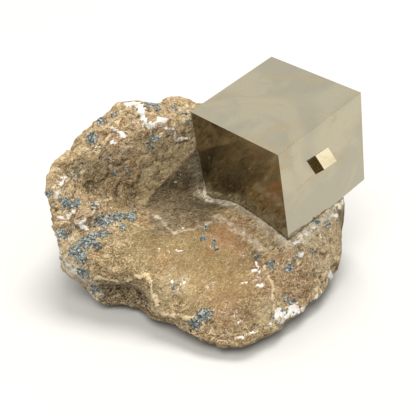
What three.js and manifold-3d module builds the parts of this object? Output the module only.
// A pyrite specimen: a large pyrite crystal, a small one grown into its side,
// and the block of marl they grew in.
// Millimetres, +Z up. The front is -Y. The origin is the middle of the bounding box's underside, on the
// surface that the specimen rests on. Each crystal sits in a socket of its own shape.
import * as THREE from "three";
import { ConvexHull } from "three/addons/math/ConvexHull.js";
import { mergeVertices } from "three/addons/utils/BufferGeometryUtils.js";
import Module from "manifold-3d";

const wasm = await Module();
wasm.setup();

// ---------- Driving dimensions ----------

const CRYSTAL_SIDE = 30; // edge of the large crystal's square top
const CRYSTAL_HEIGHT = 28; // pyrite "cubes" are often a little short along one axis
const CRYSTAL_CENTRE = [18.6, 8.0, 34.6];
const CRYSTAL_TURN = -46.8; // degrees about Z: one vertical edge faces the front
const CRYSTAL_LEAN = 12.2; // degrees about the crystal's own X axis: its top tips to the front left
const CRYSTAL_NOD = 0.3; // degrees about its own Y axis

const TWIN_LENGTH = 4.65; // the small crystal's edge along the large one's side face
const TWIN_SIDE = 4.05; // its other two edges
const TWIN_PLACE = [15.0, -0.8, 2.9]; // its centre, in the large crystal's frame: on the +X face
const TWIN_TILT = 44.3; // degrees: an edge, not a face, points outwards, so half of it is buried
const TWIN_TWIST = -4.6; // degrees about the face's normal

const GAP = 0.3; // clearance between a crystal and its socket
const GROUND_WIDTH = 200; // of the block that cuts the rock's underside flat
const GROUND_DEPTH = 50;
const ROCK_HEART = new THREE.Vector3(-12, 17, 15); // a point inside the rock that sees all of its surface
const ROCK_DETAIL = 17; // subdivisions of the sphere that is pushed out to the rock's surface
const EDGE_SHARPNESS = 60; // higher is sharper where two broken faces meet
const CREASE_SHARPNESS = 30; // the same for the creases between the rock's bodies

// ---------- Rock: corners where its broken faces meet ----------

// The low body: a slab that slopes to the front, with the crystal's seat at its back right.
const SLAB_CORNERS = [
  // underside, which is cut off flat at z = 0
  [-27, -8, -3], [-20, -14, -3], [-8, -19, -3], [4, -26, -3], [12, -25, -3], [24, -13, -3],
  [32, 0, -3], [33, 14, -3], [22, 29, -3], [-4, 31, -3], [-25, 20, -3],
  // lower rim, from the left round the front tongue to the right
  [-32.5, -13, 3], [-28.5, -16, 1], [-16.5, -20, 1], [-8, -26, 1.5], [-3.5, -29.5, 2.5], [2, -33, 3],
  [6, -34.2, 3], [10, -33.8, 3], [13, -31, 3], [17, -25.6, 2.5], [23, -21.5, 2], [27, -18.2, 3],
  [31, -14, 4], [33.5, -10, 5], [35.5, -4, 5], [37, 2, 5], [37.5, 8, 6],
  // left flank
  [-36.5, -14, 10.5], [-37.8, -13.5, 19],
  // edge of the ledge over the front recess
  [-29.5, -19, 12], [-19.5, -21.5, 14], [-15, -23, 14.5],
  // crest of the slab
  [-30, -3, 21], [-16, -1.5, 20], [-2, -5, 18.5], [10, -7, 18.4], [22, -13, 18.2],
  // seat of the crystal and right flank
  [30, -5, 20.2], [36.6, 3, 22.4], [36.8, 4, 14.4], [37.4, 9, 18.5], [33, 20, 23], [20, 32, 22],
  [34, 22, 12], [26, 32, 8], [0, 34, 18],
];

// The left shoulder: a knob that stands proud of the slab and runs back under the high body.
const SHOULDER_CORNERS = [
  [-41.8, -3, 31.2], [-40.8, 0, 33], [-41.4, -5, 27.5], [-40, -8.5, 25], [-38, -12.5, 20], [-36, -12, 9],
  [-31, -8, 23.5], [-26, 0, 22.5], [-34, 4, 5], [-38, 10, 12], [-37, 12, 28], [-22, -4, 12],
  [-6, 22, 8], [-6, 22, 20],
];

// The high body: a steep face behind the slab, up to a level top that backs the crystal.
const CLIFF_CORNERS = [
  // top, from the left knob to the crystal
  [-40.5, 1, 31.5], [-37.8, 4, 33.2], [-33.8, 10, 36.8], [-28.8, 12, 41], [-25.2, 14, 41.8],
  [-23, 16, 43.8], [-15, 18, 43.4], [-5.5, 11, 41.5], [2, 13, 40.5], [-1.4, 19, 39.8], [7, 24, 39.5],
  [13, 31, 35],
  // foot of the face
  [-37, 2, 26], [-24, 5.5, 19], [-16, 6, 17], [-4, 11.5, 16], [4, 14, 16],
  // back
  [-30, 26, 30], [-16, 34, 33], [0, 37, 32], [15, 37, 24], [-38, 13, 22], [-36, 14, 8], [-27, 26, 4],
  [-10, 34, 4], [12, 35, 4],
];

// Bulges and hollows: a place, a radius, and how far the surface moves there.
const FEATURES = [
  { at: [-28, 5, 23.5], radius: 5, move: [0, 0, -2] }, // hollows along the crease
  { at: [-20, 5, 21.5], radius: 5, move: [0, 0.5, -1.5] },
  { at: [-12, 4, 21], radius: 6, move: [0, 0, -1.5] },
  { at: [-1, 8, 22], radius: 7, move: [0, 0, -4] }, // valley at the crystal's lower left corner
  { at: [-20, -21, 7], radius: 6, move: [1, 3, 0] }, // recess under the ledge
  { at: [-28, -17.5, 5], radius: 4, move: [0.5, 1.5, 0] },
  { at: [-20.5, -18, 2], radius: 6, move: [0.5, 2.2, 0] },
  { at: [-11.5, -24.5, 2], radius: 5, move: [0.5, 3, 0] }, // notch where the front tongue begins
  { at: [-4, -31, 3], radius: 3, move: [0, 1.5, 0] }, // gap under the front lip
  { at: [-14, 13, 39], radius: 6, move: [0, -1, 0.4] }, // brow of the high face
  { at: [-25, 9, 31], radius: 5, move: [0, 0.8, 0] }, // scoop in the high face
];

const NOISE_HEIGHT = 0.9; // of the roughness that the broken faces have
const NOISE_SIZE = 7; // across its largest lumps
const NOISE_OCTAVES = 3;

// ---------- Shape of the rock ----------

/** The outward planes of the convex hull of some corners, seen from the rock's heart. */
function hullPlanes(corners) {
  const points = corners.map((c) => new THREE.Vector3(...c).sub(ROCK_HEART));
  const hull = new ConvexHull().setFromPoints(points);
  return hull.faces.map((face) => ({ normal: face.normal, distance: face.constant }));
}

/** How far a convex body reaches along a direction, with its edges rounded off. */
function reach(planes, direction, sharpness) {
  let sum = 0;
  for (const { normal, distance } of planes) {
    const facing = normal.dot(direction);
    if (facing > 0) sum += (facing / distance) ** sharpness;
  }
  return sum ** (-1 / sharpness);
}

/** A number from -1 to 1 that belongs to a lattice point. */
function latticeValue(x, y, z) {
  const wave = Math.sin(x * 127.1 + y * 311.7 + z * 74.7) * 43758.5453;
  return 2 * (wave - Math.floor(wave)) - 1;
}

/** Smooth noise from -1 to 1, one lump per unit. */
function noise(x, y, z) {
  const cell = [x, y, z].map(Math.floor);
  const [u, v, w] = [x - cell[0], y - cell[1], z - cell[2]].map((t) => t * t * (3 - 2 * t));
  let total = 0;
  for (const [dx, dy, dz] of [0, 1, 2, 3, 4, 5, 6, 7].map((n) => [n & 1, (n >> 1) & 1, n >> 2])) {
    const weight = (dx ? u : 1 - u) * (dy ? v : 1 - v) * (dz ? w : 1 - w);
    total += weight * latticeValue(cell[0] + dx, cell[1] + dy, cell[2] + dz);
  }
  return total;
}

/** Noise at several sizes, each half the last one's size and height. */
function roughness(p) {
  let total = 0;
  for (let octave = 0; octave < NOISE_OCTAVES; octave += 1) {
    const scale = 2 ** octave / NOISE_SIZE;
    total += noise(p.x * scale, p.y * scale, p.z * scale) / 2 ** octave;
  }
  return total * NOISE_HEIGHT;
}

const bodies = [SLAB_CORNERS, SHOULDER_CORNERS, CLIFF_CORNERS].map(hullPlanes);

/** The rock's surface point along a direction from its heart. */
function rockPoint(direction) {
  const reaches = bodies.map((planes) => reach(planes, direction, EDGE_SHARPNESS) ** CREASE_SHARPNESS);
  let distance = (reaches[0] + reaches[1] + reaches[2]) ** (1 / CREASE_SHARPNESS);
  const onFaces = direction.clone().multiplyScalar(distance).add(ROCK_HEART);
  distance += roughness(onFaces);
  const point = direction.clone().multiplyScalar(distance).add(ROCK_HEART);
  for (const { at, radius, move } of FEATURES) {
    const away = onFaces.distanceTo(new THREE.Vector3(...at)) / radius;
    point.addScaledVector(new THREE.Vector3(...move), Math.exp(-away * away));
  }
  return point;
}

/** A sphere whose points are pushed out to the rock's surface. */
function rockGeometry() {
  const sphere = mergePositions(new THREE.IcosahedronGeometry(1, ROCK_DETAIL));
  const position = sphere.getAttribute("position");
  for (let i = 0; i < position.count; i += 1) {
    const point = rockPoint(new THREE.Vector3().fromBufferAttribute(position, i).normalize());
    position.setXYZ(i, point.x, point.y, point.z);
  }
  return sphere;
}

// ---------- Solids ----------

/** The same geometry with only positions, and the vertices that share a place merged. */
function mergePositions(geometry) {
  const bare = geometry.clone();
  bare.deleteAttribute("normal");
  bare.deleteAttribute("uv");
  return mergeVertices(bare, 1e-4);
}

function toSolid(geometry, matrix = new THREE.Matrix4()) {
  const merged = mergePositions(geometry).applyMatrix4(matrix);
  return new wasm.Manifold(
    new wasm.Mesh({
      numProp: 3,
      vertProperties: new Float32Array(merged.getAttribute("position").array),
      triVerts: new Uint32Array(merged.index.array),
    }),
  );
}

function toGeometry(solid) {
  const { vertProperties, triVerts } = solid.getMesh();
  const geometry = new THREE.BufferGeometry();
  geometry.setAttribute("position", new THREE.BufferAttribute(new Float32Array(vertProperties), 3));
  geometry.setIndex(new THREE.BufferAttribute(new Uint32Array(triVerts), 1));
  geometry.computeVertexNormals();
  return geometry;
}

/** A crystal's box, or with a margin the box of its socket. */
function crystalBox(sides, margin = 0) {
  return new THREE.BoxGeometry(...sides.map((side) => side + 2 * margin));
}

// ---------- Materials ----------

const pyrite = new THREE.MeshStandardMaterial({ color: 0xbeb69c, roughness: 0.16, metalness: 1 });
const marl = new THREE.MeshStandardMaterial({ color: 0xa58c68, roughness: 0.9, metalness: 0 });

// ---------- Assembly ----------

const LARGE_SIDES = [CRYSTAL_SIDE, CRYSTAL_SIDE, CRYSTAL_HEIGHT];
const TWIN_SIDES = [TWIN_SIDE, TWIN_LENGTH, TWIN_SIDE];
const { degToRad } = THREE.MathUtils;

const specimen = new THREE.Group();

// The crystals share a frame: X is out of the right face, Y away from the front, Z out of the top.
const crystals = new THREE.Group();
crystals.position.set(...CRYSTAL_CENTRE);
crystals.rotation.set(degToRad(CRYSTAL_LEAN), degToRad(CRYSTAL_NOD), degToRad(CRYSTAL_TURN), "ZYX");
specimen.add(crystals);

const twin = new THREE.Mesh(crystalBox(TWIN_SIDES), pyrite);
twin.name = "small_crystal";
twin.position.set(...TWIN_PLACE);
twin.rotation.set(degToRad(TWIN_TWIST), degToRad(-TWIN_TILT), 0, "XYZ");
crystals.add(twin);
specimen.updateMatrixWorld(true);

const twinSocket = toSolid(crystalBox(TWIN_SIDES, GAP), twin.matrix);
const largeBody = toSolid(crystalBox(LARGE_SIDES)).subtract(twinSocket);
const large = new THREE.Mesh(toGeometry(largeBody), pyrite);
large.name = "large_crystal";
crystals.add(large);

// The rock's underside is cut flat at z = 0, so that the specimen stands.
const ground = toSolid(
  new THREE.BoxGeometry(GROUND_WIDTH, GROUND_WIDTH, GROUND_DEPTH),
  new THREE.Matrix4().makeTranslation(0, 0, -GROUND_DEPTH / 2),
);
const socket = toSolid(crystalBox(LARGE_SIDES, GAP), crystals.matrix);
const rock = new THREE.Mesh(toGeometry(toSolid(rockGeometry()).subtract(socket).subtract(ground)), marl);
rock.name = "matrix_rock";
specimen.add(rock);

// Set the origin at the middle of the bounding box's underside.
const box = new THREE.Box3().setFromObject(specimen, true);
specimen.position.set(-(box.min.x + box.max.x) / 2, -(box.min.y + box.max.y) / 2, -box.min.z);

export default specimen;
